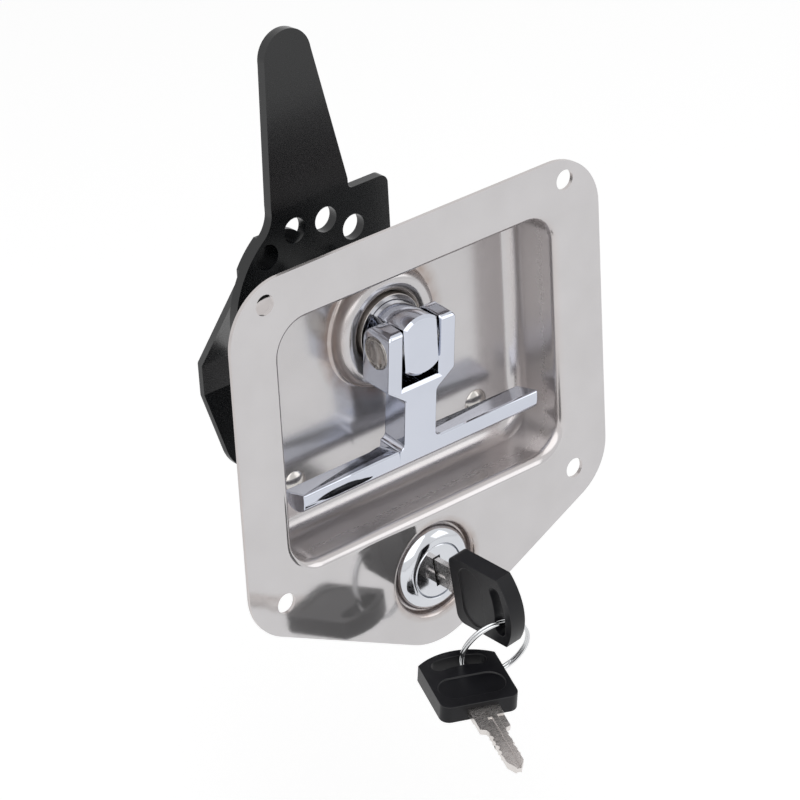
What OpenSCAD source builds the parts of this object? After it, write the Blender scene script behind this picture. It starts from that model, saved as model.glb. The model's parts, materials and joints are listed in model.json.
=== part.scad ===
// Flush-mounted trailer door latch: a pressed stainless dish with a folding T-handle,
// a latch arm on the shaft behind it, a key lock below the dish and two keys on a ring.
// X runs to the right, Y into the door and Z up. The origin is the centre of the four
// mounting holes on the front of the plate. Lengths are in millimetres.

/* [Face plate] */
// Width of the face plate
plate_w = 138; // [132:1:150]
// Height of the top edge above the mounting centre
plate_top = 55.2; // [54:0.2:62]
// Depth of the lower side corners below the mounting centre
side_drop = 52.9; // [50:0.1:58]
// Slope of the two lower edges in degrees
tip_slope = 26.3; // [24:0.1:32]
// Radius of the top corners
top_r = 18.5; // [6:0.5:22]
// Radius of the lower side corners
side_r = 18; // [6:0.5:24]
// Radius of the bottom tip
tip_r = 22.5; // [10:0.5:30]
// Thickness of the pressed sheet
sheet_t = 1.2; // [0.8:0.1:1.5]
// Horizontal distance between mounting holes
hole_dx = 112; // [110:0.5:118]
// Vertical distance between mounting holes
hole_dz = 96; // [92:0.5:100]
// Diameter of the mounting holes
hole_d = 6.35; // [4:0.05:8]

/* [Dish] */
// Width between the side walls
dish_w = 103; // [100:0.5:104]
// Height between the top and bottom walls
dish_h = 77.8; // [75:0.2:79]
// Height of the dish centre above the mounting centre
dish_z = -0.4; // [-1:0.1:1]
// Depth of the dish floor
dish_depth = 20; // [19:0.5:26]
// Radius of the wall in plan at the corners
dish_corner_r = 10; // [6:0.5:12]
// Radius of the rolled rim
rim_r = 3.2; // [2:0.1:4]
// Radius between wall and floor
foot_r = 5; // [2:0.5:6]

/* [Shaft and bearing] */
// Height of the shaft axis above the mounting centre
shaft_z = 14.3; // [12:0.1:16]
// Diameter of the shaft
shaft_d = 18.7; // [17:0.1:20]
// Wall of the bearing bush
bush_wall = 1.75; // [1:0.05:2.5]
// Running clearance on radius in the bush and on the pin
running_gap = 0.05; // [0.02:0.01:0.1]
// Radius of the rolled crest of the shaft boss
boss_crest_r = 3.6; // [2:0.1:4]
// Radius at the foot of the shaft boss
boss_foot_r = 1.5; // [0.5:0.1:2.5]
// Length of the bearing housing behind the floor
housing_len = 23; // [18:0.5:32]
// Wall of the bearing housing
housing_wall = 3.8; // [3.4:0.1:6]
// Thickness of the housing flange
housing_flange_t = 2.5; // [1.5:0.1:4]
// Size of the square that drives the arm
drive_sq = 12; // [10:0.1:12.6]
// Diameter of the threaded end
thread_d = 10; // [8:0.5:11]

/* [Floor rivets] */
// Half the distance between the two rivets
rivet_x = 35; // [33:0.5:38]
// Height of the rivets above the mounting centre
rivet_z = -24.8; // [-26:0.2:-22]
// Diameter of the rivet shank
rivet_d = 5; // [3:0.1:6]
// Diameter of the rivet head
rivet_head_d = 8.4; // [7:0.1:10]
// Height of the rivet head
rivet_head_h = 1.7; // [1:0.1:2.4]

/* [Handle] */
// Depth of the pivot axis behind the front of the plate
pivot_y = 6.8; // [6.6:0.1:8]
// Diameter of the pivot pin
pin_d = 10; // [6:0.1:10.4]
// Width of the tongue between the ears
tongue_w = 12.6; // [10:0.1:14]
// Gap at each side of the tongue
tongue_gap = 0.6; // [0.3:0.1:1]
// Width of each ear
ear_w = 5.7; // [4:0.1:7]
// Height of the ears above the pivot axis
ear_top = 7.6; // [6.4:0.1:7.8]
// Distance from the pivot axis to the front of the handle
ear_front = 6.1; // [5.6:0.1:6.4]
// Distance from the pivot axis to the back of the ears
ear_back = 5.9; // [5.6:0.1:6.4]
// Gap between the tongue and the bottom of the fork
fork_gap = 2.45; // [2:0.05:4]
// Width of the stem
stem_w = 12; // [8:0.5:14]
// Thickness of the stem
stem_t = 9.5; // [6:0.1:10]
// Distance from the pivot axis to the top edge of the grip bar
bar_drop = 32.8; // [30:0.1:36]
// Length of the grip bar
bar_len = 90.3; // [70:0.1:92]
// Sideways place of the grip bar's middle
bar_x = 1.2; // [0:0.1:1.5]
// Radius of the rounded underside of the grip bar
bar_r = 5.3; // [4.8:0.05:5.4]
// Slope of the flat on top of the grip bar in degrees
bar_slope = 18; // [10:0.5:22]
// Fillet between stem and grip bar
bar_fillet = 1.8; // [1:0.1:4]
// Lean of the folded handle into the dish in degrees
fold_lean = 5.7; // [4:0.1:7]

/* [Latch arm] */
// Thickness of the arm plate
arm_t = 3.2; // [2:0.1:4]
// Radius of the fan plate about the shaft
fan_r = 32.4; // [30:0.1:36]
// Distance of the fan's straight edge from the shaft
fan_edge = 27; // [24:0.5:30]
// Height of the fan's shoulder above the shaft
shoulder_h = 31; // [29:0.5:33]
// Height of the blade's bend above the shaft
bend_h = 33.7; // [33:0.1:36]
// Backward bend of the blade in degrees
blade_bend = 4; // [0:0.5:10]
// Length of the blade from its bend to the tip
blade_len = 52.2; // [40:0.2:70]
// Radius of the blade's tip
blade_tip_r = 8.6; // [6:0.1:10]
// Sideways place of the blade's tip
blade_tip_x = -4.7; // [-8:0.1:0]
// Left edge of the blade at its bend
blade_left = -16.8; // [-18:0.1:-14]
// Right edge of the blade at its bend
blade_right = 12; // [9:0.5:13]
// Diameter of the rod holes
rod_hole_d = 8; // [6:0.5:9]
// Radius of the arc of rod holes
rod_arc_r = 24.4; // [23.5:0.1:25]
// Sideways place of that arc's centre
rod_arc_x = -3.9; // [-4.5:0.1:-3]
// Height of that centre above the shaft
rod_arc_h = 0.7; // [0:0.1:1.5]
// First rod hole's angle on the arc in degrees
rod_start = 45.9; // [44:0.1:48]
// Angle between rod holes in degrees
rod_step = 27.8; // [26:0.1:29]

/* [Inside lever] */
// Thickness of the lever strap
lever_t = 2; // [1.5:0.1:3]
// Width of the strap
lever_w = 17; // [12:0.5:18]
// Left edge of the strap
lever_left = -27; // [-30:0.5:-26.5]
// Height of the strap's upper end above the shaft
lever_top = 24.7; // [23:0.1:26]
// Depth of the strap's lower end below the shaft
lever_drop = 54.3; // [50:0.1:58]

/* [Lock] */
// Depth of the lock axis below the mounting centre
lock_drop = 60; // [59:0.5:62]
// Radius of the wall of the lock recess
recess_r = 14.6; // [14.2:0.1:15]
// Depth of the lock recess
recess_depth = 3.2; // [3:0.1:4]
// Radius of the dome on the lock bezel
bezel_dome_r = 4.7; // [4.5:0.1:4.9]
// Diameter of the plug's face
plug_face_d = 17.5; // [16:0.1:18]
// Diameter of the plug's body
plug_d = 13; // [12.4:0.1:14]
// Diameter of the lock barrel
barrel_d = 18.6; // [17:0.1:20]
// Length of the lock barrel behind the recess floor
barrel_len = 22; // [20:0.5:30]
// Length of the lock tongue above its axis
tongue_len = 25; // [18:0.5:26]
// Thickness of the lock tongue
tongue_t = 2.5; // [1.5:0.1:4]
// Lean of the keyway in degrees
key_lean = 7; // [0:0.5:15]

/* [Keys] */
// Width of the key blade at its shoulder
key_w = 9.4; // [8:0.1:9.8]
// Thickness of the key blade
key_t = 2.2; // [1.6:0.1:2.4]
// Length of the blade outside its head
key_len = 29; // [26:0.5:31]
// Gap between the key's head and the lock
key_gap = 9.5; // [7:0.5:11]
// Width of the key's head
head_w = 24; // [22:0.5:26]
// Length of the head's straight sides
head_len = 21.5; // [19:0.5:24]
// Sideways shift of the head from the blade's middle
head_shift = 0.5; // [0:0.1:1]
// Bulge of the head's far edge
head_bulge = 4; // [2:0.5:6]
// Thickness of the head
head_t = 5.6; // [4.6:0.1:5.8]
// Width of the slot in the head
slot_w = 4.4; // [4.2:0.1:4.6]
// Length of the slot in the head
slot_len = 17; // [15:0.5:18]
// Radius of the ring at the middle of its wire
ring_r = 10.8; // [10.6:0.1:11]
// Diameter of one turn of the ring's wire
ring_wire = 1; // [0.8:0.1:1.1]

/* [Hidden] */
$fn = 96;
far = 400;
over = 1;

// Colours as the photo shows them
stainless = [0.78, 0.77, 0.76];
chrome = [0.86, 0.87, 0.89];
black_paint = [0.08, 0.08, 0.09];
black_plastic = [0.10, 0.10, 0.11];
zinc = [0.70, 0.70, 0.68];
nickel = [0.74, 0.70, 0.66];

// Face plate and dish
tip_z = -side_drop - plate_w / 2 * tan(tip_slope);
plate_points = [[-plate_w / 2, plate_top], [-plate_w / 2, -side_drop], [0, tip_z],
    [plate_w / 2, -side_drop], [plate_w / 2, plate_top]];
plate_radii = [top_r, side_r, tip_r, side_r, top_r];
floor_back = dish_depth + sheet_t;

// Shaft stations along Y
shaft_r = shaft_d / 2;
bush_in = shaft_r + running_gap;
bush_out = bush_in + bush_wall;
boss_mid = bush_out + running_gap + boss_crest_r;
boss_y = dish_depth - boss_foot_r;
boss_front = boss_y - boss_crest_r;
boss_base = boss_mid + boss_crest_r + boss_foot_r;
shaft_front = 0.6;
shoulder_gap = 0.8;
tongue_shoulder = pivot_y + ear_top + shoulder_gap;
housing_end = floor_back + housing_len;
washer_gap = 0.3;
washer_t = 1.5;
washer_rim = 3.1;
washer_r = shaft_r + washer_rim;
arm_y = housing_end + washer_gap + washer_t;
lever_y = arm_y + arm_t;
spring_y = lever_y + lever_t;
spring_t = 1.8;
nut_t = 6;
nut_ratio = 1.6;
nut_af = thread_d * nut_ratio;
nut_y = spring_y + spring_t;
thread_over = 2;
shaft_end = nut_y + nut_t + thread_over;
square_fit = 0.03;
square_root = 2;
chamfer = 0.8;
housing_r = bush_out + running_gap + housing_wall;
rib_t = 4;
rib_len = 11;
rib_relief = 5;
rib_h = housing_len - rib_relief;
housing_draft = 2.5;
rib_root = bush_out + housing_wall / 4;
flange_margin = 4.7;
rivet_margin = 6.5;
rivet_tail_h = 1.4;
rivet_tail_r = 3.8;
cap_r = (pow(rivet_head_d / 2, 2) + pow(rivet_head_h, 2)) / (2 * rivet_head_h);

// Handle in its own upright frame: origin on the pivot axis, y to the back, z up
fork_w = tongue_w + 2 * tongue_gap;
clevis_w = fork_w + 2 * ear_w;
fork_bottom = shaft_r + fork_gap;
taper_rise = 0.4;
taper_len = 4.9;
taper_top = fork_bottom - taper_rise;
taper_end = taper_top + taper_len;
stem_back = stem_t - ear_front;
ear_round = 5.5;
ear_nose = 2.2;
edge_round = 1;
bar_mid_y = 4.4;
bar_mid_z = 2.2;
bar_depth = 8;
bar_bevel = 0.7;
bar_crown_r = 11;
bar_crown_z = 3.2;
fork_bevel = 0.9;
ramp_low = 1;
ramp_high = 2;
pin_fit = 0.02;
dimple_r = 8;
dimple_h = 1;

// Latch arm
blade_tip_h = blade_len - blade_tip_r;
shoulder_round = 3;
notch_r = 1.6;
bend_straight = 0.8;
fan_fillet = 10;
blend_lap = 0.05;
hub_r = 17;
fan_floor = -4;
rod_angles = [for (i = [0:3]) rod_start + i * rod_step];
lever_hub_r = 13;
lever_bend_h = 13.2;
lever_path = [[0, lever_bend_h], [23.1, -22.6], [23, -32.9], [8.8, -lever_drop - lever_t]];
lever_corner = 6;
lever_inset = 0.6;
lever_relief = 0.6;
tab_r = 10;
tab_x = -12;

// Lock stations along Y
lock_z = -lock_drop;
recess_rim = 1.8;
recess_foot = 0.8;
barrel_r = barrel_d / 2;
plug_r = plug_d / 2;
plug_gap = 0.05;
plug_bore = plug_r + plug_gap;
bezel_front = -1.2;
bezel_lip = 0.3;
bezel_mid = plug_face_d / 2 + bezel_lip;
plug_face_y = -1;
plug_edge = 0.5;
plug_face_t = 2.15;
face_seat = plug_face_y + plug_face_t + plug_gap;
barrel_end = recess_depth + barrel_len;
lock_nut_af = 24;
lock_nut_t = 5;
plug_over = 0.2;
tongue_play = 0.5;
tongue_y = barrel_end + tongue_play;
tongue_w2 = 14;
tail_sq = 7;
screw_d = 4;
screw_head_d = 9;
screw_head_h = 2.4;
screw_depth = 4;
screw_slot_w = 1;
screw_slot_d = 0.8;
keyway_gap = 0.35;
wafer_count = 5;
wafer_t = 0.8;
wafer_pitch = 2.6;
wafer_first = 4.5;
wafer_w = 8;
wafer_short = 0.8;
wafer_h = plug_d - wafer_short;
wafer_gap = 0.1;

// Keys: u runs from the head's blade edge to its far edge, v across, w through the thickness
head_y = plug_face_y - key_gap;
tang_len = 8;
neck_len = 10.6;
neck_slope = 0.8;
bit_w = 6;
bit_first = 1.3;
bit_pitch = 2.3;
bit_flat = 0.35;
bit_depths = [0.35, 0.75, 0.45, 0.85, 0.6, 0.35];
tip_len = 3.2;
tip_step = 0.4;
tip_half = 0.8;
mill_start = 4.5;
mill_w = 2.2;
mill_d = 0.45;
groove_start = 6.2;
groove_w = 1.4;
groove_d = 0.4;
head_round = 3;
far_r = (pow(head_w / 2, 2) + pow(head_bulge, 2)) / (2 * head_bulge);
slot_inset = 1;
slot_mid = head_len - slot_inset;
slot_arc_r = 25;
pad_len = 20.5;
pad_w = 9.5;
pad_u = 8.5;
pad_depth = 0.4;
ring_coil = 0.45;
ring_centre = [-1.18, -26.55, -75.27];
ring_turn = [-0.6, 108.1, -105.2];
spare_root = [-18.6, -40.9, -82.3];
spare_turn = [2.8, -7.2, 69];

function unit(v) = v / norm(v);
function cross2(a, b) = a[0] * b[1] - a[1] * b[0];
function wrap(p, i) = p[(i + len(p)) % len(p)];
function to_prev(p, i) = unit(wrap(p, i - 1) - p[i]);
function to_next(p, i) = unit(wrap(p, i + 1) - p[i]);
function half_angle(p, i) = acos(to_prev(p, i) * to_next(p, i)) / 2;
function is_convex(p, i) = cross2(-to_prev(p, i), to_next(p, i)) > 0;
function round_centre(p, i, r) = p[i] + unit(to_prev(p, i) + to_next(p, i)) * r / sin(half_angle(p, i));
function tangents(p, i, r) = let (t = r / tan(half_angle(p, i)))
    r > 0 ? [p[i] + to_prev(p, i) * t, p[i] + to_next(p, i) * t] : [p[i]];

// Outline of anticlockwise corner points, each rounded by its own radius with a true arc
module rounded_outline(points, radii) {
    corners = [for (i = [0:len(points) - 1]) if (radii[i] > 0) i];
    difference() {
        union() {
            polygon([for (i = [0:len(points) - 1]) each tangents(points, i, radii[i])]);
            for (i = corners)
                if (is_convex(points, i))
                    translate(round_centre(points, i, radii[i])) circle(radii[i]);
        }
        for (i = corners)
            if (!is_convex(points, i))
                translate(round_centre(points, i, radii[i])) circle(radii[i]);
    }
}

// Rectangle about its centre with rounded corners
module rounded_rect(w, h, r) {
    rounded_outline([[-w / 2, -h / 2], [w / 2, -h / 2], [w / 2, h / 2], [-w / 2, h / 2]], [r, r, r, r]);
}

// Slot with round ends about its centre, long in x
module stadium(len, w) {
    square([len - w, w], center = true);
    for (s = [-1, 1]) translate([s * (len - w) / 2, 0]) circle(w / 2);
}

// Plate drawn in X and Z that runs from depth y0 to depth y1
module plate(y0, y1) {
    rotate([90, 0, 0]) translate([0, 0, -y1]) linear_extrude(y1 - y0) children();
}

// Solid of revolution about a line along Y, drawn as radius and depth
module turned(z, angle = 360) {
    translate([0, 0, z]) rotate([-90, 0, 0]) rotate_extrude(angle = angle) children();
}

// Cylinder along Y between two depths
module rod_y(r, y0, y1, x = 0, z = 0) {
    translate([x, y0, z]) rotate([-90, 0, 0]) cylinder(r = r, h = y1 - y0);
}

// Cylinder along X about its middle
module rod_x(r, len) {
    rotate([0, 90, 0]) cylinder(r = r, h = len, center = true);
}

// Quarter of a pressed bend: ring between two radii, in the quadrant given by two signs
module bend(r_in, r_out, sx, sy) {
    intersection() {
        difference() {
            circle(r_out);
            circle(r_in);
        }
        translate([sx > 0 ? 0 : -r_out, sy > 0 ? 0 : -r_out]) square(r_out);
    }
}

// Section of a pressed wall: rolled rim, wall and foot, drawn outwards and to the back
module wall_section(depth, rim, foot) {
    translate([rim, rim]) bend(rim - sheet_t, rim, -1, -1);
    translate([0, rim]) square([sheet_t, depth - foot - rim]);
    translate([-foot, depth - foot]) bend(foot, foot + sheet_t, 1, 1);
}

// Straight and rounded runs of the dish wall
module dish_wall() {
    run_x = dish_w - 2 * dish_corner_r;
    run_z = dish_h - 2 * dish_corner_r;
    for (m = [0, 1]) mirror([m, 0, 0]) {
        translate([dish_w / 2, 0, -run_z / 2]) linear_extrude(run_z)
            wall_section(dish_depth, rim_r, foot_r);
    }
    for (m = [0, 1]) mirror([0, 0, m]) {
        translate([run_x / 2, 0, dish_h / 2]) rotate([0, -90, 0]) linear_extrude(run_x)
            wall_section(dish_depth, rim_r, foot_r);
    }
    for (mx = [0, 1], mz = [0, 1]) mirror([mx, 0, 0]) mirror([0, 0, mz])
        translate([run_x / 2, 0, -run_z / 2]) turned(0, 90)
            translate([dish_corner_r, 0]) wall_section(dish_depth, rim_r, foot_r);
}

// Section of the raised ring round the shaft
module boss_section() {
    translate([boss_mid, boss_y]) {
        bend(boss_crest_r - sheet_t, boss_crest_r, 1, -1);
        bend(boss_crest_r - sheet_t, boss_crest_r, -1, -1);
    }
    translate([boss_base, boss_y]) bend(boss_foot_r, boss_foot_r + sheet_t, -1, 1);
    translate([boss_mid - boss_crest_r, boss_y]) square([sheet_t, floor_back - boss_y]);
}

module dish_plate() {
    color(stainless) {
        difference() {
            plate(0, sheet_t) difference() {
                rounded_outline(plate_points, plate_radii);
                translate([0, dish_z])
                    rounded_rect(dish_w + 2 * rim_r, dish_h + 2 * rim_r, dish_corner_r + rim_r);
                translate([0, lock_z]) circle(recess_r + recess_rim);
            }
            for (x = [-1, 1], z = [-1, 1])
                rod_y(hole_d / 2, -over, sheet_t + over, x * hole_dx / 2, z * hole_dz / 2);
        }
        translate([0, 0, dish_z]) dish_wall();
        difference() {
            plate(dish_depth, floor_back) difference() {
                translate([0, dish_z])
                    rounded_rect(dish_w - 2 * foot_r, dish_h - 2 * foot_r, dish_corner_r - foot_r);
                translate([0, shaft_z]) circle(boss_base);
            }
            for (s = [-1, 1])
                rod_y(rivet_d / 2 + pin_fit, dish_depth - over, floor_back + over, s * rivet_x, rivet_z);
        }
        turned(shaft_z) boss_section();
        turned(lock_z) {
            translate([recess_r, 0]) wall_section(recess_depth, recess_rim, recess_foot);
            translate([barrel_r + plug_gap, recess_depth])
                square([recess_r - recess_foot - barrel_r - plug_gap, sheet_t]);
        }
    }
}

module bearing_housing() {
    flange_low = rivet_z - rivet_margin;
    flange_high = shaft_z + housing_r + flange_margin;
    color(zinc) difference() {
        union() {
            plate(floor_back, floor_back + housing_flange_t)
                translate([0, (flange_low + flange_high) / 2])
                    rounded_rect(2 * (rivet_x + rivet_margin), flange_high - flange_low, rivet_margin);
            turned(shaft_z) polygon([[bush_out, floor_back], [housing_r, floor_back],
                [housing_r - housing_draft, housing_end], [bush_out, housing_end]]);
            for (a = [45, 135, 225, 315]) translate([0, floor_back, shaft_z]) rotate([0, a, 0])
                translate([0, 0, -rib_t / 2]) linear_extrude(rib_t)
                    polygon([[rib_root, housing_flange_t / 2], [housing_r + rib_len, housing_flange_t / 2],
                        [housing_r, rib_h], [rib_root, rib_h]]);
        }
        rod_y(bush_out + running_gap, floor_back - over, housing_end + over, 0, shaft_z);
        for (s = [-1, 1])
            rod_y(rivet_d / 2 + pin_fit, floor_back - over, floor_back + housing_flange_t + over,
                s * rivet_x, rivet_z);
    }
}

module shaft_bush() {
    color(nickel) turned(shaft_z)
        translate([bush_in, boss_front]) square([bush_wall, housing_end - boss_front]);
}

module dish_rivets() {
    tail_y = floor_back + housing_flange_t;
    color(nickel) for (s = [-1, 1]) translate([s * rivet_x, 0, 0]) turned(rivet_z) {
        intersection() {
            translate([0, dish_depth - rivet_head_h + cap_r]) circle(cap_r);
            translate([0, dish_depth - rivet_head_h]) square([rivet_head_d, rivet_head_h]);
        }
        translate([0, dish_depth]) square([rivet_d / 2, tail_y - dish_depth]);
        translate([0, tail_y]) square([rivet_tail_r, rivet_tail_h]);
    }
}

module spindle() {
    plan = [[-tongue_w / 2 + chamfer, shaft_front], [tongue_w / 2 - chamfer, shaft_front],
        [tongue_w / 2, shaft_front + chamfer], [tongue_w / 2, tongue_shoulder],
        [shaft_d, tongue_shoulder], [shaft_d, arm_y], [-shaft_d, arm_y],
        [-shaft_d, tongue_shoulder], [-tongue_w / 2, tongue_shoulder],
        [-tongue_w / 2, shaft_front + chamfer]];
    color(chrome) {
        difference() {
            intersection() {
                turned(shaft_z) polygon([[0, shaft_front], [shaft_r - chamfer, shaft_front],
                    [shaft_r, shaft_front + chamfer], [shaft_r, arm_y], [0, arm_y]]);
                translate([0, 0, shaft_z - shaft_d]) linear_extrude(2 * shaft_d) polygon(plan);
            }
            translate([0, pivot_y, shaft_z]) rod_x(pin_d / 2 + running_gap, 2 * shaft_d);
        }
        translate([-drive_sq / 2, arm_y - square_root, shaft_z - drive_sq / 2])
            cube([drive_sq, square_root + arm_t + lever_t - square_fit, drive_sq]);
        rod_y(thread_d / 2, arm_y - square_root, shaft_end, 0, shaft_z);
    }
}

// Outline of the fan plate about the shaft axis
module fan_outline() {
    shoulder = [[0, fan_floor], [fan_edge, fan_floor], [fan_edge, shoulder_h],
        [blade_right, shoulder_h], [blade_right, bend_h], [blade_left, bend_h], [blade_left, 0]];
    intersection() {
        circle(fan_r);
        translate([-fan_r, fan_floor]) square([fan_r + fan_edge, 2 * fan_r]);
    }
    rounded_outline(shoulder, [0, 0, shoulder_round, notch_r, 0, 0, 0]);
    circle(hub_r);
    fillet_mid = [blade_left - fan_fillet,
        sqrt(pow(fan_r + fan_fillet, 2) - pow(blade_left - fan_fillet, 2))];
    difference() {
        polygon([[blade_left + over, fillet_mid[1]], [blade_left, fillet_mid[1]],
            fillet_mid * fan_r / (fan_r + fan_fillet), [blade_left + over, 0]]);
        translate(fillet_mid) circle(fan_fillet + blend_lap);
    }
}

// Point where a line from p touches a circle, on its left (1) or right (-1) side seen from p
function touch_point(p, c, r, side) =
    let (d = norm(c - p), a = atan2(p[1] - c[1], p[0] - c[0]) + side * acos(r / d))
    c + r * [cos(a), sin(a)];

// Outline of the blade above its bend, with a root that runs into the fan plate
module blade_outline() {
    tip = [blade_tip_x, blade_tip_h];
    left = [blade_left, bend_straight];
    right = [blade_right, bend_straight];
    tip_in = blade_tip_r - blend_lap;
    translate(tip) circle(blade_tip_r);
    polygon([left, [blade_left, -bend_straight], [blade_right, -bend_straight], right,
        touch_point(right, tip, tip_in, 1), touch_point(left, tip, tip_in, -1)]);
}

module cam_arm() {
    color(black_paint) difference() {
        union() {
            translate([0, 0, shaft_z]) plate(arm_y, lever_y) fan_outline();
            translate([0, arm_y, shaft_z + bend_h]) intersection() {
                rotate([-blade_bend, 0, 0]) plate(0, arm_t) blade_outline();
                translate([-far / 2, 0, -far / 2]) cube(far);
            }
        }
        for (a = rod_angles) rod_y(rod_hole_d / 2, arm_y - over, lever_y + over,
            rod_arc_x + rod_arc_r * cos(a), shaft_z + rod_arc_h + rod_arc_r * sin(a));
        translate([0, (arm_y + lever_y) / 2, shaft_z])
            cube([drive_sq + 2 * square_fit, 2 * arm_t, drive_sq + 2 * square_fit], center = true);
    }
}

// Strip of constant thickness along a path, with round bends
module strip(path, t) {
    for (i = [0:len(path) - 2]) {
        d = path[i + 1] - path[i];
        translate(path[i]) rotate(atan2(d[1], d[0])) translate([0, -t / 2]) square([norm(d), t]);
    }
    for (i = [1:len(path) - 2]) translate(path[i]) circle(t / 2);
}

module inside_lever() {
    right = lever_left + lever_w;
    color(black_paint) difference() {
        union() {
            translate([0, 0, shaft_z]) plate(lever_y, spring_y) {
                intersection() {
                    circle(fan_r - lever_inset);
                    union() {
                        translate([tab_x, lever_top - tab_r]) circle(tab_r);
                        translate([lever_left, 0]) square([tab_x - lever_left, lever_top]);
                    }
                    translate([-far / 2, lever_bend_h]) square(far);
                }
                translate([right + lever_relief, 0])
                    square([tab_x + tab_r - right - lever_relief, lever_bend_h + lever_relief]);
                circle(lever_hub_r);
            }
            intersection() {
                translate([lever_left - over, lever_y + lever_t / 2, shaft_z]) rotate([90, 0, 90])
                    linear_extrude(lever_w + 2 * over) strip(lever_path, lever_t);
                translate([0, 0, shaft_z]) plate(lever_y, far)
                    rounded_outline([[lever_left, -lever_drop], [right, -lever_drop],
                        [right, 2 * lever_bend_h], [lever_left, 2 * lever_bend_h]],
                        [lever_corner, lever_corner, 0, 0]);
            }
        }
        translate([0, (lever_y + spring_y) / 2, shaft_z])
            cube([drive_sq + 2 * square_fit, 2 * lever_t, drive_sq + 2 * square_fit], center = true);
    }
}

module thrust_washer() {
    color(zinc) turned(shaft_z)
        translate([bush_in, arm_y - washer_t]) square([washer_r - bush_in, washer_t]);
}

module spring_washer() {
    gap = 1.2;
    color(zinc) difference() {
        turned(shaft_z) translate([thread_d / 2 + running_gap, spring_y])
            square([nut_af / 2 - thread_d / 2 - running_gap, spring_t]);
        translate([-gap / 2, spring_y - over, shaft_z]) cube([gap, spring_t + 2 * over, nut_af]);
    }
}

// Hexagon nut along Y with a plain bore
module hex_nut(y, z, af, t, bore_r) {
    difference() {
        translate([0, 0, z]) plate(y, y + t) circle(af / sqrt(3), $fn = 6);
        rod_y(bore_r, y - over, y + t + over, 0, z);
    }
}

module spindle_nut() {
    color(zinc) hex_nut(nut_y, shaft_z, nut_af, nut_t, thread_d / 2 + running_gap);
}

// Front view of the clevis and stem, about the pivot axis
module clevis_front() {
    half = clevis_w / 2;
    rounded_outline([[-half, ear_top], [-half, -taper_top], [-stem_w / 2, -taper_end],
        [-stem_w / 2, -bar_drop - bar_depth / 2], [stem_w / 2, -bar_drop - bar_depth / 2],
        [stem_w / 2, -taper_end], [half, -taper_top], [half, ear_top]],
        [ear_nose, edge_round, edge_round * 2, 0, 0, edge_round * 2, edge_round, ear_nose]);
}

// Side view of the clevis and stem: y to the back, z up
module clevis_side() {
    rounded_outline([[-ear_front, ear_top], [-ear_front, -bar_drop - bar_depth / 2],
        [stem_back, -bar_drop - bar_depth / 2], [stem_back, -taper_end - ramp_low],
        [ear_back, -taper_end + ramp_high],
        [ear_back, ear_top]], [ear_nose, 0, 0, edge_round, edge_round, ear_round]);
}

// Fillets in the two corners between stem and grip bar
module bar_fillets() {
    foot = bar_depth / 2;
    for (m = [0, 1]) mirror([m, 0]) difference() {
        translate([stem_w / 2 - over, -bar_drop - foot]) square([bar_fillet + over, bar_fillet + foot]);
        translate([stem_w / 2 + bar_fillet, -bar_drop + bar_fillet]) circle(bar_fillet);
        translate([stem_w / 2 + bar_fillet, -bar_drop - foot]) square([over, bar_fillet + foot]);
    }
}

// Section of the grip bar: crowned front, bevel, sloping flat on top and a round underside
module bar_section() {
    difference() {
        intersection() {
            translate([bar_mid_y, -bar_mid_z]) circle(bar_r);
            translate([bar_crown_r, -bar_crown_z]) circle(bar_crown_r);
            rotate(-bar_slope) translate([-bar_depth, -2 * bar_depth])
                square([4 * bar_depth, 2 * bar_depth]);
        }
        rotate(45 - bar_slope / 2) square(2 * bar_bevel, center = true);
    }
}

// Wedge that bevels the front edges of the fork's mouth
module fork_mouth() {
    b = fork_bevel;
    half = fork_w / 2;
    intersection() {
        translate([0, 0, -2 * fork_bottom]) linear_extrude(4 * fork_bottom)
            polygon([[-half - 2 * b, -ear_front - b], [half + 2 * b, -ear_front - b],
                [half - b, -ear_front + 2 * b], [-half + b, -ear_front + 2 * b]]);
        translate([-fork_w, 0, 0]) rotate([90, 0, 90]) linear_extrude(2 * fork_w)
            polygon([[-ear_front - b, -fork_bottom - 2 * b], [-ear_front + 2 * b, -fork_bottom + b],
                [-ear_front + 2 * b, 2 * ear_top], [-ear_front - b, 2 * ear_top]]);
    }
}

module t_handle() {
    color(chrome) translate([0, pivot_y, shaft_z]) rotate([fold_lean, 0, 0]) difference() {
        union() {
            intersection() {
                plate(-ear_front, ear_back) clevis_front();
                translate([-clevis_w, 0, 0]) rotate([90, 0, 90]) linear_extrude(2 * clevis_w) clevis_side();
            }
            plate(-ear_front, stem_back) bar_fillets();
            translate([bar_x - bar_len / 2, -ear_front, -bar_drop]) rotate([90, 0, 90])
                linear_extrude(bar_len) bar_section();
        }
        translate([-fork_w / 2, -2 * ear_front, -fork_bottom])
            cube([fork_w, 4 * ear_front, fork_bottom + 2 * ear_top]);
        fork_mouth();
        rod_x(pin_d / 2 + pin_fit, 2 * clevis_w);
    }
}

module pivot_pin() {
    color(nickel) translate([0, pivot_y, shaft_z]) difference() {
        rod_x(pin_d / 2, clevis_w);
        for (s = [-1, 1]) translate([s * (clevis_w / 2 + dimple_r - dimple_h), 0, 0]) sphere(dimple_r);
    }
}

module lock_housing() {
    color(chrome) turned(lock_z) difference() {
        union() {
            intersection() {
                translate([bezel_mid, bezel_front + bezel_dome_r]) circle(bezel_dome_r);
                translate([plug_r, bezel_front - over])
                    square([recess_r, recess_depth - bezel_front + over]);
            }
            translate([plug_bore, plug_face_y]) square([barrel_r - plug_bore, barrel_end - plug_face_y]);
        }
        translate([0, face_seat - far]) square([plug_face_d / 2 + plug_gap, far]);
        square([plug_bore, far]);
    }
}

module lock_nut() {
    color(zinc) hex_nut(recess_depth + sheet_t, lock_z, lock_nut_af, lock_nut_t, barrel_r + plug_gap);
}

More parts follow.
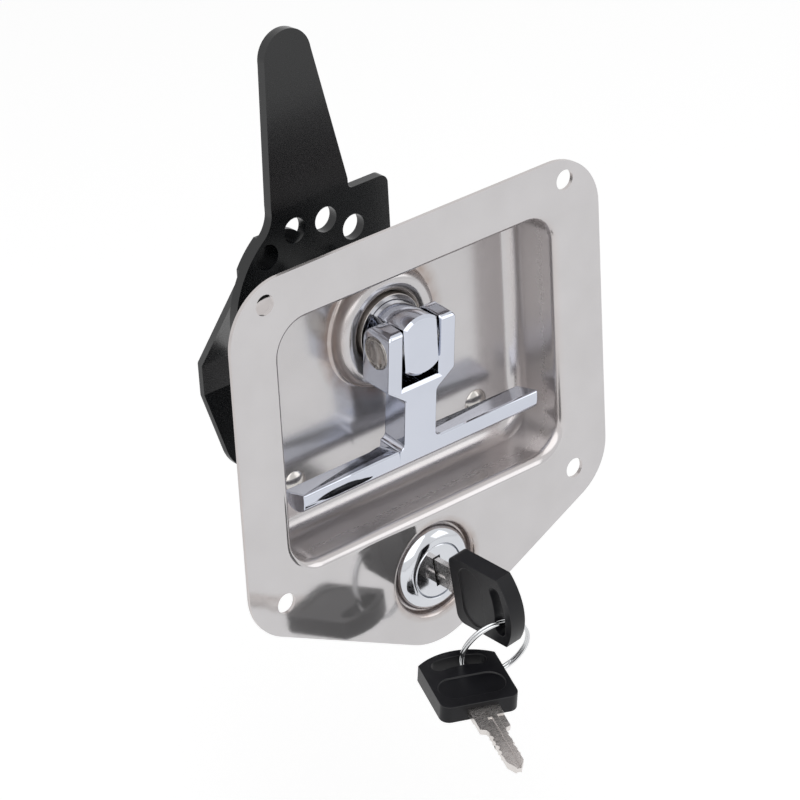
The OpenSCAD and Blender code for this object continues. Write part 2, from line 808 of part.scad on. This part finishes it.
// What follows the lean of the keyway, drawn about the lock axis
module at_lock() {
    translate([0, 0, lock_z]) rotate([0, -key_lean, 0]) children();
}

module lock_plug() {
    face_r = plug_face_d / 2;
    way_w = key_w + 2 * keyway_gap;
    way_t = key_t + 2 * keyway_gap;
    way_end = head_y + key_len + over;
    color(chrome) at_lock() difference() {
        union() {
            turned(0) polygon([[0, plug_face_y], [face_r - plug_edge, plug_face_y],
                [face_r, plug_face_y + plug_edge], [face_r, plug_face_y + plug_face_t],
                [plug_r, plug_face_y + plug_face_t], [plug_r, barrel_end + plug_over],
                [0, barrel_end + plug_over]]);
            translate([-tail_sq / 2, barrel_end, -tail_sq / 2])
                cube([tail_sq, tongue_y + tongue_t - barrel_end, tail_sq]);
        }
        translate([-way_t / 2, plug_face_y - over, -way_w / 2])
            cube([way_t, way_end - plug_face_y + over, way_w]);
        for (i = [0:wafer_count - 1]) translate([0, wafer_first + i * wafer_pitch, 0])
            cube([wafer_w, wafer_t, wafer_h] + 2 * wafer_gap * [1, 1, 1], center = true);
        rod_y(screw_d / 2, tongue_y + tongue_t - screw_depth, far);
    }
}

module lock_wafers() {
    way_w = key_w + 2 * keyway_gap;
    way_t = key_t + 2 * keyway_gap;
    color(nickel) at_lock() for (i = [0:wafer_count - 1])
        translate([0, wafer_first + i * wafer_pitch, 0]) difference() {
            intersection() {
                cube([wafer_w, wafer_t, wafer_h], center = true);
                rod_y(plug_r - wafer_gap, -wafer_t, wafer_t);
            }
            cube([way_t, 2 * wafer_t, way_w], center = true);
        }
}

module lock_tongue() {
    color(zinc) at_lock() plate(tongue_y, tongue_y + tongue_t) difference() {
        union() {
            circle(tongue_w2 / 2);
            translate([-tongue_w2 / 2, 0]) square([tongue_w2, tongue_len - tongue_w2 / 2]);
            translate([0, tongue_len - tongue_w2 / 2]) circle(tongue_w2 / 2);
        }
        square(tail_sq + 2 * square_fit, center = true);
    }
}

module tongue_screw() {
    head_at = tongue_y + tongue_t;
    color(zinc) at_lock() difference() {
        union() {
            rod_y(screw_head_d / 2, head_at, head_at + screw_head_h);
            rod_y(screw_d / 2 - pin_fit, head_at - screw_depth, head_at + over);
        }
        translate([0, head_at + screw_head_h, 0])
            cube([2 * screw_head_d, 2 * screw_slot_d, screw_slot_w], center = true);
    }
}

// Blade outline in u and v: tang, neck, cut edges and tip
module blade_shape() {
    start = -neck_len;
    end = -key_len + tip_len;
    cuts = [for (i = [0:len(bit_depths) - 1]) [start - bit_first - i * bit_pitch, bit_w / 2 - bit_depths[i]]];
    edge = [for (c = cuts) each
        [[c[0] + bit_pitch / 2, bit_w / 2], [c[0] + bit_flat, c[1]], [c[0] - bit_flat, c[1]]]];
    top = concat([[tang_len, key_w / 2], [start + neck_slope, key_w / 2], [start, bit_w / 2]], edge,
        [[end, bit_w / 2 - tip_step], [-key_len, tip_half]]);
    flip = [for (i = [len(top) - 1:-1:0]) [top[i][0], -top[i][1]]];
    polygon(concat(top, flip));
}

// Key blade about the middle of its head's blade edge, grooved along its middle and milled
// along one side of each face
module blade() {
    difference() {
        translate([0, 0, -key_t / 2]) linear_extrude(key_t) blade_shape();
        for (s = [-1, 1]) {
            translate([-key_len / 2 - groove_start / 2, 0, s * key_t / 2])
                cube([key_len - groove_start + 2, groove_w, 2 * groove_d], center = true);
            translate([-key_len / 2 - mill_start / 2, s * (key_w - mill_w) / -2, s * key_t / 2])
                cube([key_len - mill_start, mill_w + blend_lap, 2 * mill_d], center = true);
        }
    }
}

// Outline of the key's head
module head_outline() {
    rounded_outline([[0, head_w / 2], [0, -head_w / 2], [head_len, -head_w / 2], [head_len, head_w / 2]],
        [head_round, head_round, 0, 0]);
    intersection() {
        translate([head_len + head_bulge - far_r, 0]) circle(far_r);
        translate([head_len - over, -head_w / 2]) square([head_bulge + over, head_w]);
    }
}

// Curved slot that the ring passes through
module head_slot() {
    end_v = (slot_len - slot_w) / 2;
    end_a = asin(end_v / slot_arc_r);
    translate([slot_mid - slot_arc_r, 0]) {
        intersection() {
            difference() {
                circle(slot_arc_r + slot_w / 2);
                circle(slot_arc_r - slot_w / 2);
            }
            polygon([[0, 0], for (s = [-1, 1]) 2 * slot_arc_r * [cos(end_a), s * sin(end_a)]]);
        }
        for (s = [-1, 1]) rotate(s * end_a) translate([slot_arc_r, 0]) circle(slot_w / 2);
    }
}

// Moulded head of a key, with a pocket for the blade's tang
module head() {
    difference() {
        translate([0, head_shift, -head_t / 2]) linear_extrude(head_t) difference() {
            head_outline();
            head_slot();
        }
        translate([-over, -key_w / 2, -key_t / 2]) cube([tang_len + over, key_w, key_t]);
        for (s = [-1, 1]) translate([pad_u, head_shift, s * head_t / 2 - pad_depth])
            linear_extrude(2 * pad_depth) rotate(90) stadium(pad_len, pad_w);
    }
}

// Places a key in the lock
module in_lock() {
    at_lock() translate([0, head_y, 0]) rotate([-90, 0, -90]) children();
}

// Places the second key, lying below the ring
module on_ring() {
    translate(spare_root) rotate(spare_turn) children();
}

module key_blade() {
    color(nickel) in_lock() blade();
}

module key_head() {
    color(black_plastic) in_lock() head();
}

module key_ring() {
    color(zinc) translate(ring_centre) rotate(ring_turn) rotate_extrude()
        for (s = [-1, 1]) translate([ring_r, s * ring_coil * ring_wire]) circle(ring_wire / 2);
}

module spare_key_blade() {
    color(nickel) on_ring() blade();
}

module spare_key_head() {
    color(black_plastic) on_ring() head();
}

dish_plate();
bearing_housing();
shaft_bush();
dish_rivets();
lock_housing();
lock_nut();
spindle();
cam_arm();
inside_lever();
thrust_washer();
spring_washer();
spindle_nut();
t_handle();
pivot_pin();
lock_plug();
lock_wafers();
lock_tongue();
tongue_screw();
key_blade();
key_head();
key_ring();
spare_key_blade();
spare_key_head();
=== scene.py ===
import json
import math

import bmesh
import bpy
from mathutils import Euler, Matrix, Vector


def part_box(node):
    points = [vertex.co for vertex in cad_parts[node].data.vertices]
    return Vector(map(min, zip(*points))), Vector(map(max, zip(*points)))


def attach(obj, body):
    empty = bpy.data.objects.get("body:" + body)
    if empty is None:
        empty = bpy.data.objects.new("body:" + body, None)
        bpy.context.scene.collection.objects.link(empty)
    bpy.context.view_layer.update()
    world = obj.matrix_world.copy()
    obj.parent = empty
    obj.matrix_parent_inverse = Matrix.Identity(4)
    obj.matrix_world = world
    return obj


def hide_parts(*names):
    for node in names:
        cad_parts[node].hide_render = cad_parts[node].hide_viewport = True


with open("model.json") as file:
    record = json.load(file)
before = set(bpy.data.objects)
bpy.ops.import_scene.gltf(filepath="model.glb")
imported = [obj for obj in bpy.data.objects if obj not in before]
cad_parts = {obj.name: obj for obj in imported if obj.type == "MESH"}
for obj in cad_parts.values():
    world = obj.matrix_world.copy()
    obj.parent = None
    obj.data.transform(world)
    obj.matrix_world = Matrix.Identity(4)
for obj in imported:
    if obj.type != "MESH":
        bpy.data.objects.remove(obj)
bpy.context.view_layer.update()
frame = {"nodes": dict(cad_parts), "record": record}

MM = 0.001
scene = bpy.context.scene
scene.view_settings.view_transform = "Standard"
nodes = frame["nodes"]
behaviour = frame["record"]["behaviour"]
body_of = {node: body for body, members in behaviour["bodies"].items() for node in members}
slot_of = {part["node"]: part["material_slot"] for part in frame["record"]["subparts"]}


def linked(name, data):
    """An object in the scene with its data."""
    obj = bpy.data.objects.new(name, data)
    scene.collection.objects.link(obj)
    return obj


# Materials

# Range of a share
SHARE_RANGE = (0.0, 1.0)
# Noise that isn't drawn out in any direction
EVEN = (1, 1, 1)
# Range in which nearly all of a noise value lies
NOISE_RANGE = (0.3, 0.7)
NOISE_ROUGH = 0.55
GRAIN_ROUGH = 0.6
# Scale and detail of the clouds of shade on metals and on coatings, and of the blotches in a ring of
# painted shade
METAL_CLOUDS = (60, 4)
COATING_CLOUDS = (90, 4)
BLOTCHES = (180, 2)
FAINTEST_BLOTCH = 0.3
# Detail of the grain and of the slow waves under it
METAL_GRAIN_DETAIL = 4
METAL_WAVE_DETAIL = 1.5
COATING_GRAIN_DETAIL = 3
COATING_PEEL_DETAIL = 2
# Share of the normal along Y on the drawn walls of the sheet, and where it lies flat
WALL_TO_FLAT = (0.55, 0.97)
# Depths in metres between which the haze down in the dish sets in
HAZE_DEPTHS = (0.002, 0.012)
# Roughness that pressing adds down in the dish and on its drawn walls
HAZE = (0.10, 0.14)
# Colours that the drawn walls are multiplied by, as a painted warm reflection, and that the rings round
# the shaft and the lock are multiplied by, as painted brown shade
WARM_REFLECTION_TINT = (1.0, 0.965, 0.945)
SHADE_BROWN = (0.66, 0.55, 0.48)
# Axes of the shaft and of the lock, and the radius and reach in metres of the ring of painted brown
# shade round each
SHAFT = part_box("spindle_nut")[0].lerp(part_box("spindle_nut")[1], 0.5)
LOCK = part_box("lock_nut")[0].lerp(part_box("lock_nut")[1], 0.5)
SHADE_RINGS = [(SHAFT, 0.0205, 0.004), (LOCK, 0.0148, 0.0025)]


def add(tree, kind, inputs=None, **settings):
    """A shader node with its settings and unlinked inputs."""
    node = tree.nodes.new(kind)
    for key, value in settings.items():
        setattr(node, key, value)
    for key, value in (inputs or {}).items():
        node.inputs[key].default_value = value
    return node


def start(name, **principled):
    """A material with a Principled shader, and its texture coordinates in metres."""
    mat = bpy.data.materials.new(name)
    mat.use_nodes = True
    tree = mat.node_tree
    shader = tree.nodes["Principled BSDF"]
    for key, value in principled.items():
        shader.inputs[key.replace("_", " ")].default_value = value
    return mat, tree, shader, add(tree, "ShaderNodeTexCoord").outputs


def noise(tree, coords, stretch, scale, detail, rough=NOISE_ROUGH):
    """Noise over object coordinates, drawn out by stretch."""
    mapping = add(tree, "ShaderNodeMapping", {"Scale": stretch})
    tree.links.new(coords, mapping.inputs["Vector"])
    tex = add(tree, "ShaderNodeTexNoise", {"Scale": scale, "Detail": detail, "Roughness": rough})
    tree.links.new(mapping.outputs["Vector"], tex.inputs["Vector"])
    return tex.outputs["Fac"]


def spread(tree, value, low, high, within=NOISE_RANGE):
    """Maps a value that runs within one range onto another."""
    node = add(tree, "ShaderNodeMapRange",
               {"From Min": within[0], "From Max": within[1], "To Min": low, "To Max": high})
    tree.links.new(value, node.inputs["Value"])
    return node.outputs["Result"]


def tint(tree, value, dark, light):
    """Colour between two shades, by a noise value."""
    ramp = add(tree, "ShaderNodeValToRGB")
    for stop, position, shade in zip(ramp.color_ramp.elements, NOISE_RANGE, (dark, light)):
        stop.position = position
        stop.color = (*shade, 1)
    tree.links.new(value, ramp.inputs["Fac"])
    return ramp.outputs["Color"]


def bumps(tree, shader, layers):
    """Stacks height fields, each a value and its depth in metres, onto the shader's normal."""
    last = None
    for value, depth in layers:
        node = add(tree, "ShaderNodeBump", {"Strength": 1.0, "Distance": depth})
        tree.links.new(value, node.inputs["Height"])
        if last:
            tree.links.new(last, node.inputs["Normal"])
        last = node.outputs["Normal"]
    tree.links.new(last, shader.inputs["Normal"])


def calc(tree, operation, first, second):
    """Arithmetic on two values of a shader."""
    node = add(tree, "ShaderNodeMath", operation=operation)
    tree.links.new(first, node.inputs[0])
    tree.links.new(second, node.inputs[1])
    return node.outputs[0]


def along_y(tree, vector):
    """Size of a vector's part along Y."""
    parts = add(tree, "ShaderNodeSeparateXYZ")
    tree.links.new(vector, parts.inputs["Vector"])
    size = add(tree, "ShaderNodeMath", operation="ABSOLUTE")
    tree.links.new(parts.outputs["Y"], size.inputs[0])
    return size.outputs[0]


def drawn(tree, places):
    """One where the sheet is drawn round into a wall, nothing where it lies flat."""
    return spread(tree, along_y(tree, places["Normal"]), 1.0, 0.0, WALL_TO_FLAT)


def pressed_haze(tree, places, deep, wall):
    """Roughness that pressing adds: some down in the dish, more on its walls."""
    inside = spread(tree, along_y(tree, places["Object"]), 0.0, deep, HAZE_DEPTHS)
    return calc(tree, "ADD", inside, spread(tree, drawn(tree, places), 0.0, wall, SHARE_RANGE))


def multiplied(tree, shade, share, colour):
    """Multiplies a shade by a colour, by a share that varies over the surface."""
    blend = add(tree, "ShaderNodeMixRGB", {"Color2": (*colour, 1)}, blend_type="MULTIPLY")
    tree.links.new(share, blend.inputs["Fac"])
    tree.links.new(shade, blend.inputs["Color1"])
    return blend.outputs["Color"]


def painted_shade_ring(tree, coords, shade, centre, radius, reach):
    """Lays a blotchy brown ring of painted shade over a colour, round an axis along Y."""
    flat = add(tree, "ShaderNodeMapping", {"Location": (-centre.x, 0, -centre.z), "Scale": (1, 0, 1)})
    tree.links.new(coords, flat.inputs["Vector"])
    length = add(tree, "ShaderNodeVectorMath", operation="LENGTH")
    tree.links.new(flat.outputs["Vector"], length.inputs[0])
    distance = length.outputs["Value"]
    inner = spread(tree, distance, 0.0, 1.0, (radius - reach, radius))
    outer = spread(tree, distance, 1.0, 0.0, (radius, radius + reach))
    ring_band = calc(tree, "MULTIPLY", inner, outer)
    blotch = spread(tree, noise(tree, coords, EVEN, *BLOTCHES), FAINTEST_BLOTCH, 1.0)
    return multiplied(tree, shade, calc(tree, "MULTIPLY", ring_band, blotch), SHADE_BROWN)


def metal(name, dark, light, rough, grain, waves, stretch=EVEN, haze=None, shade_rings=(), pure=1.0):
    """Bare or plated metal: shade and gloss vary a little, over a grain and slow waves."""
    mat, tree, shader, places = start(name, Metallic=pure)
    coords = places["Object"]
    shade = tint(tree, noise(tree, coords, EVEN, *METAL_CLOUDS), dark, light)
    if haze:
        # Painted warm reflection: the drawn walls, picked by the way they face, are tinted warmer
        shade = multiplied(tree, shade, drawn(tree, places), WARM_REFLECTION_TINT)
    # Painted shade: blotchy brown rings round the foot of the boss and round the lock recess
    for shade_ring in shade_rings:
        shade = painted_shade_ring(tree, coords, shade, *shade_ring)
    tree.links.new(shade, shader.inputs["Base Color"])
    fine = noise(tree, coords, stretch, grain[0], METAL_GRAIN_DETAIL, GRAIN_ROUGH)
    gloss = spread(tree, fine, *rough)
    if haze:
        gloss = calc(tree, "ADD", gloss, pressed_haze(tree, places, *haze))
    tree.links.new(gloss, shader.inputs["Roughness"])
    slow = noise(tree, coords, EVEN, waves[0], METAL_WAVE_DETAIL)
    bumps(tree, shader, [(slow, waves[1]), (fine, grain[1])])
    return mat


def coating(name, dark, light, rough, grain, peel, specular=0.5):
    """Paint or moulded plastic: fine grain over a slight orange peel."""
    mat, tree, shader, places = start(name, Specular_IOR_Level=specular)
    coords = places["Object"]
    cloud = noise(tree, coords, EVEN, *COATING_CLOUDS)
    tree.links.new(tint(tree, cloud, dark, light), shader.inputs["Base Color"])
    fine = noise(tree, coords, EVEN, grain[0], COATING_GRAIN_DETAIL, GRAIN_ROUGH)
    tree.links.new(spread(tree, fine, *rough), shader.inputs["Roughness"])
    slow = noise(tree, coords, EVEN, peel[0], COATING_PEEL_DETAIL)
    bumps(tree, shader, [(slow, peel[1]), (fine, grain[1])])
    return mat


# Finish of each slot: two shades, the range of the roughness, and the noise scale and the depth in
# metres of its grain and of its waves or orange peel
MATERIALS = {
    "stainless": metal(
        "pressed_stainless", dark=(0.545, 0.530, 0.535), light=(0.585, 0.570, 0.577), rough=(0.06, 0.10),
        grain=(900, 5e-8), waves=(38, 2e-5), stretch=(0.25, 1, 1), haze=HAZE, shade_rings=SHADE_RINGS, pure=0.78),
    "chrome": metal(
        "bright_chrome", dark=(0.54, 0.565, 0.635), light=(0.565, 0.59, 0.66), rough=(0.02, 0.045),
        grain=(700, 1e-7), waves=(70, 6e-6)),
    "pin_steel": metal(
        "plain_steel", dark=(0.46, 0.44, 0.42), light=(0.60, 0.58, 0.56), rough=(0.14, 0.26),
        grain=(1500, 6e-7), waves=(150, 6e-6)),
    "zinc": metal(
        "zinc_plate", dark=(0.25, 0.255, 0.26), light=(0.35, 0.35, 0.345), rough=(0.26, 0.44),
        grain=(1200, 1.5e-6), waves=(120, 1e-5)),
    "key_metal": metal(
        "nickel_key", dark=(0.60, 0.57, 0.55), light=(0.76, 0.73, 0.71), rough=(0.22, 0.34),
        grain=(1600, 1e-7), waves=(120, 3e-6), stretch=(0.3, 1, 1)),
    "ring_steel": metal(
        "ring_wire", dark=(0.56, 0.57, 0.58), light=(0.68, 0.69, 0.70), rough=(0.08, 0.16),
        grain=(1500, 4e-7), waves=(200, 3e-6)),
    "black_paint": coating(
        "satin_black_paint", dark=(0.0014, 0.0018, 0.0026), light=(0.0032, 0.0038, 0.005),
        rough=(0.20, 0.32), grain=(2600, 4e-7), peel=(300, 4e-6)),
    "key_plastic": coating(
        "moulded_black_plastic", dark=(0.003, 0.003, 0.0045), light=(0.006, 0.006, 0.008),
        rough=(0.30, 0.46), grain=(3200, 3e-6), peel=(500, 4e-6), specular=0.26),
}
# Finishes of single nodes that differ from their slot's
OWN_FINISH = {
    node: metal(
        node + "_chrome", dark=(0.58, 0.595, 0.63), light=(0.62, 0.635, 0.665), rough=(0.08, 0.13),
        grain=(900, 1e-7), waves=(90, 8e-6))
    for node in ("lock_housing", "lock_plug")
}
# Finish of the rounded edges where a coating is rubbed
RUBBED = {
    "black_paint": coating(
        "rubbed_black_paint", dark=(0.006, 0.0065, 0.007), light=(0.05, 0.048, 0.046),
        rough=(0.22, 0.40), grain=(2600, 1e-6), peel=(300, 4e-6)),
    "key_plastic": coating(
        "rubbed_black_plastic", dark=(0.008, 0.008, 0.009), light=(0.022, 0.022, 0.024),
        rough=(0.32, 0.5), grain=(3200, 3e-6), peel=(500, 4e-6), specular=0.35),
}
# Finish of the bare walls of the rod holes
CUT_STEEL = metal(
    "cut_steel", dark=(0.40, 0.385, 0.37), light=(0.56, 0.54, 0.52), rough=(0.35, 0.5),
    grain=(1500, 6e-7), waves=(150, 6e-6), pure=0.3)


# Pieces with eased edges

# Edge rounding of each node in millimetres, and the number of steps in it
EDGES = {
    "dish_plate": (0.22, 2), "bearing_housing": (0.5, 2), "shaft_bush": (0.25, 2),
    "dish_rivets": (0.15, 2), "lock_housing": (0.2, 2), "lock_nut": (0.35, 2),
    "spindle": (0.35, 3), "cam_arm": (0.45, 3), "inside_lever": (0.3, 2),
    "thrust_washer": (0.2, 2), "spring_washer": (0.2, 2), "spindle_nut": (0.4, 2),
    "t_handle": (0.6, 3), "pivot_pin": (0.8, 3), "lock_plug": (0.2, 2), "lock_wafers": (0.06, 1),
    "lock_tongue": (0.3, 2), "tongue_screw": (0.25, 2), "key_blade": (0.15, 2),
    "key_head": (0.7, 3), "spare_key_blade": (0.15, 2), "spare_key_head": (0.7, 3),
}
# Places of a piece's finishes: its slot's, that of rubbed edges and that of bare walls
PLAIN, WORN, CUT = range(3)
# Nodes whose arcs are cut finer than their rounding, so that it isn't clamped on them
FREE_EDGES = ("t_handle", "spindle", "pivot_pin")
# Distance within which points are joined, and angle below which faces count as one plane
WELD = 2e-6
FLAT = math.radians(0.05)
# Angles between two faces from which an edge is rounded, and from which it is rounded in full
CORNER = math.radians(24)
SQUARE_CORNER = math.radians(62)
# Share of the rounding on blunter edges, except on those nodes, where they stay as they are
BLUNT_SHARE = 0.45
# Share of it on the rims of the pivot pin and its bore
BORE_SHARE = 0.4
# Axis of the handle's pivot, and a radius just outside its bore
PIVOT = Vector(next(joint for joint in behaviour["joints"] if joint["name"] == "handle_fold")["pos_m"])
PIVOT_BORE = 0.0052
# Width of the lip and of the slope round the dished ends of the pivot pin, and their depth
PIN_LIP = 0.0008
PIN_SLOPE = 0.0006
PIN_SUNK = 0.00025
# Least share of the normal along X on an end of the pivot pin
END_FACING = 0.99
# Where the stem of the handle is let into the front of its grip bar
BAR_TOP = -0.0188
BAR_FRONT = 0.005
STEM_HALF = 0.0079
# Nearest and farthest reach of the rod holes from the shaft, and their least height above it
ROD_HOLES = (0.0165, 0.0315)
ROD_HOLES_ABOVE = 0.005
# Largest share of the normal along Y on the wall of a rod hole
WALL_FACING = 0.1


def in_bore(edge):
    """Whether an edge lies on the rim of the pivot pin or of its bore."""
    return all(math.hypot(v.co.y - PIVOT.y, v.co.z - PIVOT.z) < PIVOT_BORE for v in edge.verts)


def at_bar(edge):
    """Whether an edge lies where the handle's stem runs into its grip bar."""
    return all(v.co.z < BAR_TOP and v.co.y < BAR_FRONT and abs(v.co.x) < STEM_HALF for v in edge.verts)


def in_rod_hole(face):
    """Whether a face of the latch arm is the wall of a rod hole, whose arc runs about the shaft."""
    middle = face.calc_center_median()
    reach = math.hypot(middle.x - SHAFT.x, middle.z - SHAFT.z)
    above = middle.z > SHAFT.z + ROD_HOLES_ABOVE
    return abs(face.normal.y) < WALL_FACING and above and ROD_HOLES[0] < reach < ROD_HOLES[1]


def dished(bm):
    """Sinks both ends of the pivot pin inside a lip."""
    ends = [face for face in bm.faces if abs(face.normal.x) > END_FACING]
    bmesh.ops.inset_individual(bm, faces=ends, thickness=PIN_LIP)
    bmesh.ops.inset_individual(bm, faces=ends, thickness=PIN_SLOPE, depth=-PIN_SUNK)


def rounding(edge, free):
    """Share of its node's rounding that an edge takes."""
    angle = edge.calc_face_angle(0)
    if len(edge.link_faces) != 2 or angle < CORNER:
        return 0.0
    if free and at_bar(edge):
        return 0.0
    if free and in_bore(edge):
        return BORE_SHARE
    if angle > SQUARE_CORNER:
        return 1.0
    return 0.0 if free else BLUNT_SHARE


def prepare(mesh, node):
    """Cleans a node's mesh, and marks the edges to be rounded and the bare walls."""
    bm = bmesh.new()
    bm.from_mesh(mesh)
    bmesh.ops.remove_doubles(bm, verts=bm.verts, dist=WELD)
    bmesh.ops.dissolve_limit(bm, angle_limit=FLAT, verts=bm.verts, edges=bm.edges)
    if node == "pivot_pin":
        dished(bm)
    share = bm.edges.layers.float.new("bevel_weight_edge")
    for edge in bm.edges:
        edge[share] = rounding(edge, node in FREE_EDGES)
        edge.smooth = edge[share] > 0 or edge.calc_face_angle(0) < CORNER
    for face in bm.faces:
        face.smooth = True
        face.material_index = CUT if node == "cam_arm" and in_rod_hole(face) else PLAIN
    bm.to_mesh(mesh)
    bm.free()


def eased(node, width, steps):
    """Shows a copy of a node, with its sharp edges rounded, in its place."""
    mesh = nodes[node].data.copy()
    piece = linked(node + "_eased", mesh)
    slot = slot_of[node]
    prepare(mesh, node)
    mesh.materials.clear()
    mesh.materials.append(OWN_FINISH.get(node, MATERIALS[slot]))
    bevel = piece.modifiers.new("eased_edges", "BEVEL")
    bevel.limit_method = "WEIGHT"
    bevel.offset_type = "OFFSET"
    bevel.width = width * MM
    bevel.segments = steps
    bevel.use_clamp_overlap = node not in FREE_EDGES
    if slot in RUBBED:
        mesh.materials.append(RUBBED[slot])
        bevel.material = WORN
    if node == "cam_arm":
        mesh.materials.append(CUT_STEEL)
    weights = piece.modifiers.new("face_weighted_normals", "WEIGHTED_NORMAL")
    weights.keep_sharp = True
    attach(piece, body_of[node])
    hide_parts(node)


for name, (width, steps) in EDGES.items():
    eased(name, width, steps)

ring = nodes["key_ring"]
ring.data.materials.clear()
ring.data.materials.append(MATERIALS["ring_steel"])


# Camera, surround, floor and lamps

# Camera that was fitted to the photo: place, lens and sensor in millimetres, turn in degrees
CAMERA_PLACE = (-664.829, -813.257, 557.835)
CAMERA_TURN = (61.8764, 2.8603, -40.3650)
CAMERA_LENS = 185.1187
CAMERA_SENSOR = 36.0
CAMERA_NEAR = 0.05
WHITE = (1, 1, 1, 1)
# Strength of the surround as light, and where it is seen or mirrored
SKY_LIGHT = 0.45
SKY_SHOWN = 1.0
FLOOR_Z = -0.20
FLOOR_REACH = 6.0
FLOOR_TONE = (0.86, 0.86, 0.86, 1)
FLOOR_ROUGH = 0.9
# Glow of the floor where it is seen or mirrored
FLOOR_GLOW = 0.46
# Place and size in metres and power in watts of the lamps, which face the origin
LAMPS = {
    "key_light": ((-0.9, -0.9, 1.5), 2.4, 18),
    "fill_light": ((1.3, -1.2, 0.7), 1.0, 3),
}


def by_ray(tree, lighting, shown):
    """One value for rays that only light, another for camera, glossy and transmission rays."""
    light = add(tree, "ShaderNodeLightPath")
    total = light.outputs["Is Camera Ray"]
    for key in ("Is Glossy Ray", "Is Transmission Ray"):
        total = calc(tree, "MAXIMUM", total, light.outputs[key])
    return spread(tree, total, lighting, shown, SHARE_RANGE)


def softbox(name, place, size, power):
    """A square area lamp that faces the origin."""
    lamp = bpy.data.lights.new(name, "AREA")
    lamp.shape = "SQUARE"
    lamp.size = size
    lamp.energy = power
    obj = linked(name, lamp)
    obj.location = place
    obj.rotation_euler = (-Vector(place)).to_track_quat("-Z", "Y").to_euler()


camera = linked("camera", bpy.data.cameras.new("camera"))
camera.location = Vector(CAMERA_PLACE) * MM
camera.rotation_euler = Euler([math.radians(angle) for angle in CAMERA_TURN])
camera.data.sensor_width = CAMERA_SENSOR
camera.data.lens = CAMERA_LENS
camera.data.clip_start = CAMERA_NEAR
scene.camera = camera

world = bpy.data.worlds.new("studio")
scene.world = world
world.use_nodes = True
sky_tree = world.node_tree
sky = sky_tree.nodes["Background"]
sky.inputs["Color"].default_value = WHITE
sky_tree.links.new(by_ray(sky_tree, SKY_LIGHT, SKY_SHOWN), sky.inputs["Strength"])

floor_mesh = bpy.data.meshes.new("floor")
floor_bm = bmesh.new()
bmesh.ops.create_grid(floor_bm, x_segments=1, y_segments=1, size=FLOOR_REACH)
floor_bm.to_mesh(floor_mesh)
floor_bm.free()
floor = linked("floor", floor_mesh)
floor.location = (0, 0, FLOOR_Z)
floor_mat = bpy.data.materials.new("pale_floor")
floor_mat.use_nodes = True
floor_tree = floor_mat.node_tree
paint = floor_tree.nodes["Principled BSDF"]
paint.inputs["Base Color"].default_value = FLOOR_TONE
paint.inputs["Roughness"].default_value = FLOOR_ROUGH
paint.inputs["Specular IOR Level"].default_value = 0.0
paint.inputs["Emission Color"].default_value = WHITE
floor_tree.links.new(by_ray(floor_tree, 0.0, FLOOR_GLOW), paint.inputs["Emission Strength"])
floor_mesh.materials.append(floor_mat)

for name, (place, size, power) in LAMPS.items():
    softbox(name, place, size, power)
